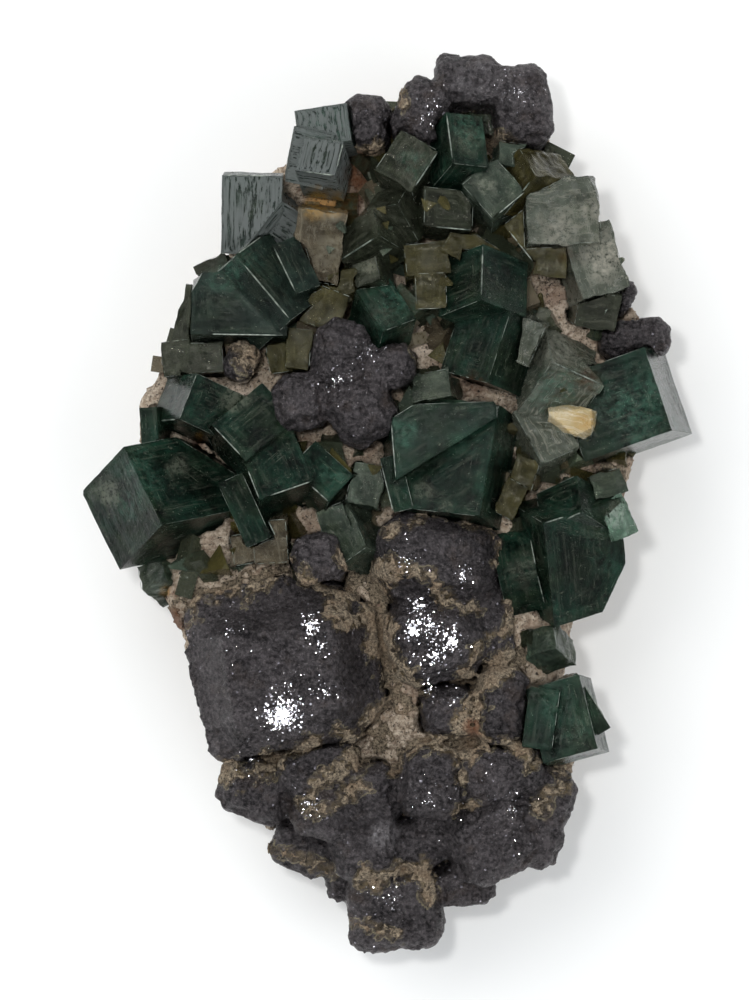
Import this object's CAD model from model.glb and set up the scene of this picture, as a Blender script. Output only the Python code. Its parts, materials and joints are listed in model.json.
"""Looks of the fluorite with galena specimen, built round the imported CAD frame."""

import json
import logging
import math
import random
from dataclasses import dataclass, field, replace
from enum import Enum

import bmesh
import bpy
import numpy as np
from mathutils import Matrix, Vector
from mathutils.bvhtree import BVHTree


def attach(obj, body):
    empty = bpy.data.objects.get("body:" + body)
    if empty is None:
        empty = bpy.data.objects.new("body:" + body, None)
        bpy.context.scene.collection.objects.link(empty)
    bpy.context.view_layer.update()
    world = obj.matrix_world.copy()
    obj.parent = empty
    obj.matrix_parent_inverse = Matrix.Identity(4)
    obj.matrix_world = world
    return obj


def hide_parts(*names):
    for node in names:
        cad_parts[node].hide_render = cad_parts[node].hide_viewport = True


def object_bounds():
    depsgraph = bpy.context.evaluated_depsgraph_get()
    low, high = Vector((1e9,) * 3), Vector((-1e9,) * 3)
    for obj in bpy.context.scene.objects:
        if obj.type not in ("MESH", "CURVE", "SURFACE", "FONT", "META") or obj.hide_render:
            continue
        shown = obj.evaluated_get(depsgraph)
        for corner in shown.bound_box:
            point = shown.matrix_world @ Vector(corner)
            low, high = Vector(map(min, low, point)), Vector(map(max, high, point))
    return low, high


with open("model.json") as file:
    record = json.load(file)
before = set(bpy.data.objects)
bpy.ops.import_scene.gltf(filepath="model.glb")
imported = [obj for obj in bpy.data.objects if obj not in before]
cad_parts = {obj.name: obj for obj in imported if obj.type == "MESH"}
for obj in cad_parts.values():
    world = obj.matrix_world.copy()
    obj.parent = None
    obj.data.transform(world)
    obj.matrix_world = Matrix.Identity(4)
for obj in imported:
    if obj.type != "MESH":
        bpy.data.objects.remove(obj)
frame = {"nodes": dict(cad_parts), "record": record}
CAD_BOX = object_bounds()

LOG = logging.getLogger("specimen")
MM = 0.001

PIXELS_PER_MM = 8.0
BASE_MIDDLE_PX = (392.0, 504.0)  # where the middle of the base lies in the photograph
PICTURE_HEIGHT_MM = 125.0
PICTURE_MIDDLE_MM = (-2.1, 0.5)
CAMERA_HEIGHT = 1.2  # above the crystals, so that their sides hardly show
CRYSTAL_LEVEL = 0.025
SENSOR_MM = 36.0

FLUORITE_IOR = 1.434
MERGE = 1e-6
FLAT_DEGREES = 1.0
CREASE_DEGREES = 26.0
LOWEST_GROWTH_MM = 9.0  # neither crust nor druse grows below this height
GROWTH_FADE_MM = 4.0  # height over which crust and druse set in
SPOT_EDGE = 1.6  # how sharply a painted spot ends
RUN_EDGE = 2.5  # how sharply a painted line ends
SPOT_RAGGED = 0.5
RUN_RAGGED = 1.9
RAGGED_LAYERS = ((0.5, 0.8), (1.3, 0.6), (3.1, 0.4))  # patterns per mm, and their strengths
RAGGED_SEED = 5
FACET_DEPTH_MM = 8.0  # a raised facet's fall reaches this far down from the top
FACET_FADE_MM = 5.0
TINY = 1e-9
GROWTH = "growth"  # attribute: place along and across a crystal face, and depth from its rim


class Mark(Enum):
    """What a painted attribute stands for."""

    GLOW = "glow"
    PALE = "pale"
    RUST = "rust"
    CRUST = "crust"
    DRUSE = "druse"
    GOLD = "gold"
    TONE = "tone"


class Lump(Enum):
    """The shape that the scatter tree sows."""

    GRAIN = "GeometryNodeMeshIcoSphere"
    SHARD = "GeometryNodeMeshCube"
    SPLINTER = "GeometryNodeMeshCone"


@dataclass(frozen=True)
class Run:
    """A line of crust or paint, through pixels of the photograph."""

    mark: Mark
    line: tuple[tuple[float, float], ...]
    width_mm: float
    strength: float = 1.0


# Spots of paint: pixel across and down, radius in millimetres, strength.
SPOTS = {
    Mark.GLOW: (
        (137, 462, 3.2, 0.8), (152, 485, 2.6, 0.7), (128, 505, 2.4, 0.7), (212, 532, 2.6, 0.4),
        (332, 476, 2.2, 0.8), (402, 433, 2.6, 1.0), (468, 438, 2.4, 0.5), (505, 450, 2.6, 0.6),
        (636, 405, 5.5, 0.9), (640, 440, 4.0, 0.7), (556, 389, 3.6, 0.7), (393, 300, 3.2, 0.8),
        (375, 320, 2.6, 0.6), (470, 128, 3.0, 1.0), (416, 165, 2.6, 0.6), (322, 122, 3.2, 0.8),
        (349, 128, 2.4, 0.8), (226, 278, 3.0, 0.8), (245, 262, 2.4, 0.6), (560, 700, 3.6, 0.6),
        (572, 725, 3.2, 0.5), (610, 560, 3.0, 0.4), (600, 530, 3.0, 0.3),
    ),
    Mark.PALE: (
        (107, 493, 2.2, 0.9), (178, 465, 1.9, 0.6), (276, 188, 1.6, 1.0), (372, 268, 1.4, 1.0),
        (385, 835, 2.2, 0.8), (423, 492, 1.6, 0.5), (447, 507, 1.3, 0.5), (487, 187, 1.5, 1.0),
        (372, 214, 2.4, 0.5), (330, 250, 2.8, 0.4), (560, 230, 3.6, 0.6), (606, 255, 4.0, 1.0),
        (590, 212, 2.4, 0.6), (560, 350, 3.2, 0.4), (506, 440, 2.6, 0.45), (525, 570, 2.8, 0.4),
        (466, 140, 2.4, 0.4), (378, 315, 2.6, 0.3), (480, 86, 6.0, 0.35), (422, 342, 2.6, 0.8),
        (558, 296, 3.4, 0.5), (237, 396, 2.4, 0.9), (330, 204, 3.0, 1.0), (616, 515, 2.0, 0.8),
    ),
    Mark.GOLD: (
        (320, 204, 2.6, 1.0), (338, 204, 2.0, 1.0), (164, 592, 1.0, 1.0), (198, 436, 0.8, 0.7),
        (584, 422, 1.6, 0.6),
    ),
    Mark.CRUST: (
        (328, 204, 2.4, 1.0), (358, 185, 2.6, 1.0), (402, 706, 2.6, 1.0), (377, 742, 2.8, 0.8),
        (562, 768, 1.8, 0.8), (378, 595, 1.7, 1.0), (424, 574, 1.3, 1.0), (452, 600, 1.2, 0.8),
        (430, 896, 1.6, 1.0), (356, 762, 2.2, 0.7), (423, 340, 2.6, 1.0), (556, 292, 3.0, 1.0),
        (237, 396, 2.2, 1.0), (612, 474, 3.0, 0.8), (500, 142, 2.2, 1.0), (254, 352, 3.4, 0.8),
        (478, 138, 1.2, 0.6), (542, 806, 1.6, 0.9),
    ),
    Mark.RUST: (
        (198, 440, 1.2, 1.0), (475, 385, 2.4, 0.7), (358, 172, 2.6, 0.9), (352, 202, 2.0, 0.9),
        (172, 622, 2.2, 0.9), (164, 594, 1.1, 1.0), (588, 380, 1.8, 0.6), (566, 256, 1.6, 0.5),
        (474, 728, 1.4, 0.8), (555, 296, 2.2, 0.5),
    ),
    Mark.DRUSE: (
        (440, 230, 27.0, 1.0), (250, 330, 12.5, 1.0), (255, 545, 12.0, 1.0), (545, 430, 13.0, 1.0),
        (535, 625, 5.0, 0.9), (340, 490, 9.0, 0.9),
    ),
}

RUNS = (
    Run(Mark.CRUST, ((341, 602), (351, 597), (363, 602), (367, 613), (360, 624), (347, 626),
                     (338, 616), (341, 602)), 0.7),
    Run(Mark.CRUST, ((366, 616), (373, 632), (378, 657), (390, 672), (401, 686)), 1.1),
    Run(Mark.CRUST, ((397, 570), (380, 570), (365, 575), (369, 589), (381, 606), (390, 620)), 0.8),
    Run(Mark.CRUST, ((388, 658), (401, 671), (421, 691)), 0.6),
    Run(Mark.CRUST, ((412, 570), (431, 579), (437, 593), (453, 600), (467, 606), (483, 612)), 0.6),
    Run(Mark.CRUST, ((463, 678), (474, 657), (490, 636)), 0.5),
    Run(Mark.CRUST, ((499, 543), (497, 562), (508, 576), (512, 593), (511, 616), (508, 632)), 0.4),
    Run(Mark.CRUST, ((520, 661), (499, 664), (488, 678), (483, 693), (474, 709), (467, 726),
                     (465, 740)), 0.9),
    Run(Mark.CRUST, ((395, 771), (396, 756), (408, 743), (433, 741), (456, 749)), 0.6),
    Run(Mark.CRUST, ((458, 748), (459, 763), (466, 783)), 0.8),
    Run(Mark.CRUST, ((476, 733), (476, 743), (462, 752)), 0.9),
    Run(Mark.CRUST, ((504, 741), (517, 751), (531, 765)), 0.6),
    Run(Mark.CRUST, ((547, 794), (564, 788)), 0.5),
    Run(Mark.CRUST, ((454, 817), (458, 806), (476, 804)), 0.4),
    Run(Mark.CRUST, ((370, 881), (393, 876), (404, 867), (421, 870), (430, 884)), 0.8),
    Run(Mark.CRUST, ((316, 740), (293, 752), (268, 769), (246, 774), (217, 775)), 0.9),
    Run(Mark.CRUST, ((337, 732), (351, 740), (356, 752), (341, 765), (322, 780), (312, 792)), 0.7),
    Run(Mark.CRUST, ((362, 719), (373, 712), (388, 702)), 0.5),
    Run(Mark.CRUST, ((295, 573), (306, 581), (330, 590), (344, 600)), 0.4),
    Run(Mark.CRUST, ((346, 562), (351, 576), (352, 592)), 0.8),
    Run(Mark.CRUST, ((176, 606), (200, 592), (228, 584), (256, 578), (290, 568)), 1.2, 0.8),
    Run(Mark.CRUST, ((300, 800), (318, 815), (346, 800), (360, 785)), 0.6, 0.7),
    Run(Mark.CRUST, ((268, 850), (300, 862), (330, 870)), 0.6, 0.6),
    Run(Mark.CRUST, ((356, 925), (377, 927), (398, 936)), 0.6, 0.6),
    Run(Mark.CRUST, ((442, 128), (452, 122), (482, 118)), 0.6, 0.8),
    Run(Mark.CRUST, ((400, 88), (402, 104)), 0.7, 0.8),
    Run(Mark.CRUST, ((380, 148), (356, 152), (352, 166)), 0.5, 0.8),
    Run(Mark.CRUST, ((390, 530), (430, 514), (470, 520), (492, 530)), 0.5, 0.7),
)


@dataclass(frozen=True)
class Plateau:
    """A raised facet of a piece, drawn by its outline: the piece falls away outside it."""

    node: str
    outline: tuple[tuple[float, float], ...]
    slope: float
    deepest_mm: float


PLATEAUS = (
    Plateau("galena_big_left", ((222, 640), (319, 627), (341, 697), (336, 728), (239, 748)),
            0.75, 5.0),
    Plateau("galena_big_right", ((398, 616), (424, 610), (478, 632), (455, 664), (440, 690),
                                 (420, 690), (392, 650)), 0.7, 3.0),
    Plateau("galena_big_right", ((398, 545), (452, 540), (462, 580), (440, 586)), 0.5, 3.0),
    Plateau("fluorite_cream_chip", ((545, 412), (592, 408), (592, 428), (575, 437), (562, 425)),
            2.5, 2.4),
)

# Edges that show as thin bright lines in the photograph, from end to end.
BRIGHT_EDGES = (
    ((223.5, 436), (246, 461)), ((260, 499), (314, 479)), ((260, 499), (268, 528)),
    ((246, 461), (260, 499)), ((315, 488), (329, 502)), ((172, 414), (186, 382)),
    ((143, 417), (172, 416)), ((158, 551), (190, 546)), ((110, 560), (150, 515)),
    ((580, 570), (565, 593)), ((543, 523), (579, 512)), ((543, 523), (550, 590)),
    ((524, 528), (541, 600)), ((509, 569), (536, 573)), ((259, 234), (211, 279)),
    ((234, 264), (293, 325)), ((191, 332), (286, 334)), ((447, 110), (455, 167)),
    ((437, 154), (413, 192)), ((535, 175), (490, 217)), ((425, 227), (482, 222)),
    ((338, 261), (380, 236)), ((552, 361), (602, 385)), ((484, 250), (483, 290)),
    ((452, 208), (467, 190)), ((490, 222), (522, 250)), ((314, 176), (335, 177)),
    ((335, 177), (347, 152)), ((600, 462), (697, 434)), ((656, 348), (678, 436)),
    ((583, 675), (607, 747)), ((545, 752), (603, 744)), ((224, 171), (283, 171)),
    ((265, 248), (296, 300)), ((498, 422), (491, 472)), ((491, 472), (480, 516)),
    ((506, 401), (404, 464)), ((388, 498), (398, 404)), ((483, 290), (460, 297)),
    ((483, 290), (508, 300)), ((547, 660), (548, 744)), ((506, 401), (530, 460)),
)


def plan_mm(pixel: tuple[float, float]) -> tuple[float, float]:
    """Turns a pixel of the photograph to a plan place.

    Args:
        pixel: the pixel, across and down.

    Returns:
        The place in millimetres from the middle of the base.
    """
    return (
        (pixel[0] - BASE_MIDDLE_PX[0]) / PIXELS_PER_MM,
        (BASE_MIDDLE_PX[1] - pixel[1]) / PIXELS_PER_MM,
    )


def linear(colour: str) -> tuple[float, float, float, float]:
    """Turns an sRGB hex colour to linear light.

    Args:
        colour: six hex digits after a hash sign.

    Returns:
        Red, green, blue and alpha.
    """
    parts = [int(colour[i : i + 2], 16) / 255 for i in (1, 3, 5)]
    turned = [p / 12.92 if p <= 0.04045 else ((p + 0.055) / 1.055) ** 2.4 for p in parts]
    return (turned[0], turned[1], turned[2], 1.0)


def add_node(
    tree: bpy.types.NodeTree,
    kind: str,
    settings: dict | None = None,
    values: dict | None = None,
    links: dict | None = None,
) -> bpy.types.Node:
    """Adds a node with its settings and links.

    Args:
        tree: the node tree that gets it.
        kind: Blender's name for the kind of node.
        settings: the node's own properties, by name.
        values: unlinked values, by socket name or number.
        links: output sockets that feed it, by socket name or number.

    Returns:
        The new node.
    """
    node = tree.nodes.new(kind)
    for name, value in (settings or {}).items():
        setattr(node, name, value)
    for key, value in (values or {}).items():
        node.inputs[key].default_value = value
    for key, source in (links or {}).items():
        tree.links.new(source, node.inputs[key])
    return node


@dataclass
class Palette:
    """Helpers that every material here is mixed with."""

    material: bpy.types.Material
    place: bpy.types.NodeSocket = field(init=False)

    def __post_init__(self) -> None:
        """Empties the material and adds the coordinates."""
        self.material.use_nodes = True
        self.tree.nodes.clear()
        self.place = add_node(self.tree, "ShaderNodeTexCoord").outputs["Object"]

    @property
    def tree(self) -> bpy.types.NodeTree:
        """The material's node tree."""
        return self.material.node_tree

    def noise(
        self,
        size_mm: float,
        detail: float = 3.0,
        rough: float = 0.55,
        stretch: tuple[float, float, float] | None = None,
        turn: tuple[float, float, float] = (0.0, 0.0, 0.0),
        vector: bpy.types.NodeSocket | None = None,
    ) -> bpy.types.NodeSocket:
        """A noise pattern in object coordinates.

        Args:
            size_mm: size of its largest lumps.
            detail: number of finer layers.
            rough: strength of the finer layers.
            stretch: scale along each axis, for grain that runs one way.
            turn: turn of the stretched axes, in radians.
            vector: other coordinates to read.

        Returns:
            The pattern's output.
        """
        vector = vector or self.place
        if stretch:
            vector = add_node(
                self.tree, "ShaderNodeMapping", values={"Scale": stretch, "Rotation": turn},
                links={"Vector": vector},
            ).outputs[0]
        return add_node(
            self.tree, "ShaderNodeTexNoise",
            values={"Scale": 1.0 / (size_mm * MM), "Detail": detail, "Roughness": rough},
            links={"Vector": vector},
        ).outputs[0]

    def cells(self, size_mm: float) -> bpy.types.Node:
        """Small square-sided cells, each with its own random colour.

        Args:
            size_mm: size of a cell.

        Returns:
            The cell node.
        """
        return add_node(
            self.tree, "ShaderNodeTexVoronoi", {"distance": "CHEBYCHEV"},
            {"Scale": 1.0 / (size_mm * MM)}, {"Vector": self.place},
        )

    def face_place(self) -> bpy.types.NodeSocket:
        """Coordinates that lie along a crystal face."""
        return add_node(
            self.tree, "ShaderNodeAttribute", {"attribute_name": GROWTH}
        ).outputs["Vector"]

    def ramp(
        self, source: bpy.types.NodeSocket, low: float, high: float, to_low: float = 0.0,
        to_high: float = 1.0,
    ) -> bpy.types.NodeSocket:
        """Maps a range of the source to another range, clamped.

        Args:
            source: the value to map.
            low: start of the range that is read.
            high: end of the range that is read.
            to_low: result at low.
            to_high: result at high.

        Returns:
            The mapped value.
        """
        return add_node(
            self.tree, "ShaderNodeMapRange",
            values={"From Min": low, "From Max": high, "To Min": to_low, "To Max": to_high},
            links={"Value": source},
        ).outputs[0]

    def calc(
        self, kind: str, first: bpy.types.NodeSocket, second: bpy.types.NodeSocket | float
    ) -> bpy.types.NodeSocket:
        """Arithmetic of a value with a value or a number.

        Args:
            kind: Blender's name for the operation.
            first: the first value.
            second: the second value, or a number.

        Returns:
            The result, clamped from 0 to 1.
        """
        links = {0: first}
        values = {}
        if isinstance(second, bpy.types.NodeSocket):
            links[1] = second
        else:
            values[1] = second
        return add_node(
            self.tree, "ShaderNodeMath", {"operation": kind, "use_clamp": True}, values, links
        ).outputs[0]

    def painted(self, mark: Mark) -> bpy.types.NodeSocket:
        """How strongly a mark is painted at this place."""
        return add_node(
            self.tree, "ShaderNodeAttribute", {"attribute_name": mark.value}
        ).outputs["Fac"]

    def blend(
        self,
        share: bpy.types.NodeSocket,
        first: bpy.types.NodeSocket | str,
        second: bpy.types.NodeSocket | str,
    ) -> bpy.types.NodeSocket:
        """Mixes two colours.

        Args:
            share: how much of the second colour.
            first: a colour, or its hex value.
            second: a colour, or its hex value.

        Returns:
            The mixed colour.
        """
        links = {0: share}
        values = {}
        for key, colour in ((6, first), (7, second)):
            if isinstance(colour, str):
                values[key] = linear(colour)
            else:
                links[key] = colour
        return add_node(
            self.tree, "ShaderNodeMix", {"data_type": "RGBA"}, values, links
        ).outputs[2]

    def bump(
        self, height: bpy.types.NodeSocket, depth_mm: float,
        under: bpy.types.NodeSocket | None = None,
    ) -> bpy.types.NodeSocket:
        """Relief too fine for the mesh.

        Args:
            height: the relief's height, from 0 to 1.
            depth_mm: how deep the relief is.
            under: a bump that this one lies on.

        Returns:
            The bent normal.
        """
        links = {"Height": height}
        if under:
            links["Normal"] = under
        return add_node(
            self.tree, "ShaderNodeBump", values={"Distance": depth_mm * MM, "Strength": 1.0},
            links=links,
        ).outputs[0]

    def surface(self, values: dict, links: dict) -> bpy.types.Node:
        """Ends the material in a Principled shader.

        Args:
            values: the shader's unlinked values.
            links: what feeds its other sockets.

        Returns:
            The material's output node.
        """
        shader = add_node(self.tree, "ShaderNodeBsdfPrincipled", values=values, links=links)
        return add_node(
            self.tree, "ShaderNodeOutputMaterial", links={"Surface": shader.outputs[0]}
        )


@dataclass(frozen=True)
class Fluorite:
    """Natural fluorite, a clear green crystal with growth zones and healed cracks.

    It looks wet and glassy on sound faces, and its colour deepens with thickness.
    """

    name: str
    deep: str
    light: str
    absorbed: str
    density: float
    clear: float = 0.7  # share of plain transmission
    roughness: float = 0.16
    haze: float = 0.25  # strength of the milky veils
    striated: float = 0.12  # strength of the growth lines
    rugged_mm: float = 0.05  # how far etching moves the skin
    pale: str = "#9aa08c"
    glow: str = "#62937c"
    olive: str = "#56664a"
    rust: str = "#5a3519"
    gold: str = "#b08a4c"
    zone_mm: float = 3.0  # size of the colour zones
    line_mm: float = 0.4  # width of the growth lines
    core: float = 0.45  # share of the light colour away from the rim
    streak_from: float = 0.54  # where in the pattern a line turns pale
    streak_fade: float = 0.13
    face_line_depth_mm: float = 0.03
    face_etch_depth_mm: float = 0.08
    mirrored: str = "#7a7f7c"  # tint of what the face mirrors
    sheen_level: float = 0.2
    grain: tuple[float, float, float] = (0.06, 1.0, 0.3)  # lines per width, along and across

    def material(self) -> bpy.types.Material:
        """Mixes the crystal's material.

        Returns:
            The new material.
        """
        p = Palette(bpy.data.materials.new(self.name))
        face = p.face_place()
        frames = p.noise(0.8, 4.0, 0.65, (0.05, 0.05, 1.0), vector=face)
        lines = p.noise(self.line_mm, 4.0, 0.65, self.grain, vector=face)
        zones = p.ramp(p.noise(self.zone_mm, 6.0, 0.75), 0.36, 0.68)
        zones = p.calc("MULTIPLY", zones, p.ramp(frames, 0.32, 0.62, 0.4, 1.0))
        rim = add_node(p.tree, "ShaderNodeSeparateXYZ", links={0: face}).outputs[2]
        zones = p.calc("MULTIPLY", zones, p.ramp(rim, 0.4 * MM, 3.5 * MM, 1.0, self.core))
        glow = p.calc("MULTIPLY", p.painted(Mark.GLOW), p.ramp(p.noise(1.1, 6.0, 0.75), 0.42, 0.68))
        light = p.blend(p.ramp(p.noise(7.0, 3.0), 0.45, 0.65, 0.0, 0.7), self.light, self.olive)
        colour = p.blend(zones, self.deep, light)
        colour = p.blend(p.painted(Mark.TONE), colour, light)
        colour = p.blend(glow, colour, self.glow)
        veils = p.ramp(p.noise(2.4, 6.0, 0.65, (1.0, 3.2, 1.6), (0.5, 0.3, 0.9)), 0.55, 0.7)
        dust = p.ramp(p.noise(0.45, 3.0, 0.7), 0.48, 0.7)
        haze = p.calc("MULTIPLY", p.calc("MULTIPLY", veils, dust), self.haze * 2)
        streaks = p.ramp(lines, self.streak_from, self.streak_from + self.streak_fade)
        streaks = p.calc("MULTIPLY", streaks, self.striated)
        haze = p.calc("MAXIMUM", haze, streaks)
        line_starts = p.ramp(frames, 0.545, 0.56)
        line_ends = p.ramp(frames, 0.57, 0.585, 1.0, 0.0)
        nested = p.calc("MULTIPLY", line_starts, line_ends)
        nested = p.calc("MULTIPLY", nested, p.ramp(p.noise(2.2, 3.0), 0.42, 0.62, 0.0, 0.35))
        haze = p.calc("MAXIMUM", haze, nested)
        specks = p.ramp(p.noise(0.26, 3.0, 0.7), 0.66, 0.74)
        haze = p.calc("MAXIMUM", haze, p.calc("MULTIPLY", specks, 0.7))
        broken = p.ramp(p.noise(0.7, 5.0, 0.75), 0.38, 0.58)
        haze = p.calc("MAXIMUM", haze, p.calc("MULTIPLY", p.painted(Mark.PALE), broken))
        colour = p.blend(haze, colour, self.pale)
        stain = p.calc("MULTIPLY", p.painted(Mark.RUST), p.ramp(p.noise(0.9), 0.35, 0.6))
        colour = p.blend(stain, colour, self.rust)
        glint = p.calc("MULTIPLY", p.painted(Mark.GOLD), p.ramp(p.noise(0.9, 4.0), 0.3, 0.5))
        colour = p.blend(glint, colour, self.gold)
        roughness = p.calc("ADD", p.calc("MULTIPLY", haze, 0.35), self.roughness)
        normal = p.bump(lines, self.face_line_depth_mm)
        normal = p.bump(p.noise(0.7, 5.0, 0.7), self.face_etch_depth_mm, normal)
        end = p.surface(
            {"IOR": FLUORITE_IOR, "Transmission Weight": self.clear,
             "Specular IOR Level": self.sheen_level, "Specular Tint": linear(self.mirrored)},
            {"Base Color": colour, "Roughness": roughness, "Normal": normal},
        )
        volume = add_node(
            p.tree, "ShaderNodeVolumeAbsorption",
            values={"Color": linear(self.absorbed), "Density": self.density},
        )
        p.tree.links.new(volume.outputs[0], end.inputs["Volume"])
        return p.material


@dataclass(frozen=True)
class BruisedEdge:
    """Fluorite edge, crushed white along its line by handling, so it shows as a pale thread."""

    name: str = "bruised_fluorite_edge"
    colour: str = "#8b9287"

    def material(self) -> bpy.types.Material:
        """Mixes the thread's material.

        Returns:
            The new material.
        """
        p = Palette(bpy.data.materials.new(self.name))
        colour = p.blend(p.ramp(p.noise(0.9, 4.0, 0.7), 0.38, 0.62), "#2c362f", self.colour)
        p.surface({"Roughness": 0.4, "IOR": FLUORITE_IOR}, {"Base Color": colour})
        return p.material


@dataclass(frozen=True)
class HealedCrack:
    """A healed crack inside fluorite: a thin sheet of tiny bubbles that scatters pale light."""

    name: str = "healed_crack"

    def material(self) -> bpy.types.Material:
        """Mixes the sheet's material.

        Returns:
            The new material.
        """
        p = Palette(bpy.data.materials.new(self.name))
        cells = p.noise(0.5, 5.0, 0.7)
        colour = p.blend(p.ramp(cells, 0.4, 0.65), "#3d5247", "#93a096")
        p.surface(
            {"Roughness": 0.5, "IOR": FLUORITE_IOR},
            {"Base Color": colour, "Alpha": p.ramp(cells, 0.48, 0.7, 0.03, 0.6)},
        )
        return p.material


@dataclass(frozen=True)
class TarnishedGalena:
    """Galena, lead sulphide, tarnished: a dull purple-grey metal lustre over fine pits."""

    name: str = "tarnished_galena"
    cleavage_mm: float = 0.26
    dark: str = "#181718"
    light: str = "#6d6768"

    def material(self) -> bpy.types.Material:
        """Mixes the tarnish's material.

        Returns:
            The new material.
        """
        p = Palette(bpy.data.materials.new(self.name))
        cloud = p.ramp(p.noise(5.0, 4.0, 0.6), 0.35, 0.7)
        grain = p.ramp(p.noise(0.5, 5.0, 0.75), 0.4, 0.64)
        own = p.cells(self.cleavage_mm).outputs["Color"]
        grain = p.calc("MULTIPLY", grain, 0.7)
        mixed = p.calc("ADD", p.calc("MULTIPLY", cloud, 0.3), grain)
        colour = p.blend(mixed, self.dark, self.light)
        colour = p.blend(p.ramp(own, 0.93, 0.95), colour, "#a8a3ab")
        haze = p.calc("MULTIPLY", p.painted(Mark.PALE), p.ramp(p.noise(0.6, 4.0), 0.35, 0.6))
        colour = p.blend(haze, colour, "#8f8b8c")
        crust = p.painted(Mark.CRUST)
        dust = p.calc("MULTIPLY", crust, p.ramp(p.noise(0.7, 4.0), 0.3, 0.6))
        colour = p.blend(dust, colour, "#7c6e56")
        rim = p.calc("MULTIPLY", p.ramp(crust, 0.01, 0.06), p.ramp(crust, 0.1, 0.25, 1.0, 0.0))
        rim = p.calc("MULTIPLY", rim, p.ramp(p.noise(2.5), 0.45, 0.55))
        colour = p.blend(p.calc("MULTIPLY", rim, 0.8), colour, "#988e75")
        browned = p.ramp(p.noise(3.4, 5.0, 0.65), 0.55, 0.7, 0.0, 0.5)
        colour = p.blend(browned, colour, "#4b4039")
        stain = p.calc("MULTIPLY", p.painted(Mark.RUST), grain)
        colour = p.blend(stain, colour, "#5a3520")
        roughness = p.ramp(own, 0.3, 0.9, 0.42, 0.2)
        normal = p.bump(p.noise(0.45, 5.0, 0.8), 0.28)
        normal = p.bump(p.noise(1.6, 7.0, 0.68), 0.7, normal)
        p.surface(
            {"Metallic": 0.85},
            {"Base Color": colour, "Roughness": roughness, "Normal": normal},
        )
        return p.material


@dataclass(frozen=True)
class FreshGalena:
    """Fresh galena cleavage, a bright lead-white metal mirror in tiny facets."""

    name: str = "fresh_galena_facets"

    def material(self) -> bpy.types.Material:
        """The facets' material."""
        p = Palette(bpy.data.materials.new(self.name))
        colour = p.blend(p.noise(0.8), "#c9c6cf", "#f2f1f4")
        p.surface({"Metallic": 1.0, "Roughness": 0.16}, {"Base Color": colour})
        return p.material


@dataclass(frozen=True)
class Ironstone:
    """Iron-stained matrix rock: dull tan grains in brown cement, with rust in its hollows."""

    name: str = "iron_stained_rock"
    dark: str = "#6b5b4b"
    middle: str = "#a8937d"
    light: str = "#dccdb8"

    def material(self) -> bpy.types.Material:
        """Mixes the rock's material.

        Returns:
            The new material.
        """
        p = Palette(bpy.data.materials.new(self.name))
        patches = p.ramp(p.noise(4.0, 4.0, 0.6), 0.36, 0.62)
        grain = p.ramp(p.noise(0.5, 4.0, 0.7), 0.4, 0.64)
        colour = p.blend(patches, self.dark, self.middle)
        colour = p.blend(p.calc("MULTIPLY", grain, 0.8), colour, self.light)
        pink = p.ramp(p.noise(7.0, 2.0), 0.54, 0.66)
        colour = p.blend(p.calc("MULTIPLY", pink, 0.5), colour, "#a98f7a")
        bleached = p.calc("MULTIPLY", p.painted(Mark.PALE), p.ramp(p.noise(0.5, 4.0), 0.3, 0.5))
        colour = p.blend(bleached, colour, "#ead9c6")
        stain = p.calc("MAXIMUM", p.painted(Mark.RUST), p.ramp(p.noise(2.2, 5.0), 0.6, 0.72))
        colour = p.blend(p.calc("MULTIPLY", stain, 0.85), colour, "#5c3218")
        colour = p.blend(p.painted(Mark.GOLD), colour, "#d9a869")
        pores = p.ramp(p.noise(0.4, 4.0, 0.7), 0.37, 0.44)
        colour = p.blend(pores, "#241c15", colour)
        normal = p.bump(p.noise(0.6, 5.0, 0.75), 0.45)
        p.surface({"Roughness": 0.9, "IOR": 1.5}, {"Base Color": colour, "Normal": normal})
        return p.material


@dataclass(frozen=True)
class GrittyCrust:
    """Gritty clay and iron-oxide crust between the crystals, matt and sandy to the eye."""

    name: str = "gritty_tan_crust"

    def material(self) -> bpy.types.Material:
        """Mixes the crust's material.

        Returns:
            The new material.
        """
        p = Palette(bpy.data.materials.new(self.name))
        grain = p.ramp(p.noise(0.35, 5.0, 0.8), 0.4, 0.62)
        colour = p.blend(grain, "#2f271d", "#a1917a")
        hue = p.ramp(p.noise(3.0, 3.0), 0.45, 0.65)
        colour = p.blend(p.calc("MULTIPLY", hue, 0.4), colour, "#7d654d")
        pale = p.ramp(p.noise(0.5, 3.0, 0.7), 0.62, 0.7)
        colour = p.blend(p.calc("MULTIPLY", pale, 0.7), colour, "#bcb092")
        bleached = p.calc("MULTIPLY", p.painted(Mark.PALE), p.ramp(p.noise(0.5, 4.0), 0.3, 0.5))
        colour = p.blend(bleached, colour, "#dcc9b6")
        colour = p.blend(p.calc("MULTIPLY", p.painted(Mark.RUST), 0.8), colour, "#6b3c1e")
        colour = p.blend(p.painted(Mark.GOLD), colour, "#d9a869")
        pores = p.ramp(p.noise(0.3, 3.0, 0.6), 0.34, 0.42)
        colour = p.blend(pores, "#1a150e", colour)
        normal = p.bump(p.noise(0.4, 5.0, 0.75), 0.3)
        p.surface({"Roughness": 0.95, "IOR": 1.5}, {"Base Color": colour, "Normal": normal})
        return p.material


@dataclass(frozen=True)
class PaleBoard:
    """Matt painted board under the specimen, almost white."""

    name: str = "pale_board"
    colour: str = "#f3f3f1"

    def material(self) -> bpy.types.Material:
        """Mixes the board's material.

        Returns:
            The new material.
        """
        p = Palette(bpy.data.materials.new(self.name))
        colour = p.blend(p.noise(30.0, 2.0), self.colour, "#f6f6f4")
        p.surface({"Roughness": 0.9}, {"Base Color": colour})
        return p.material


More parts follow.
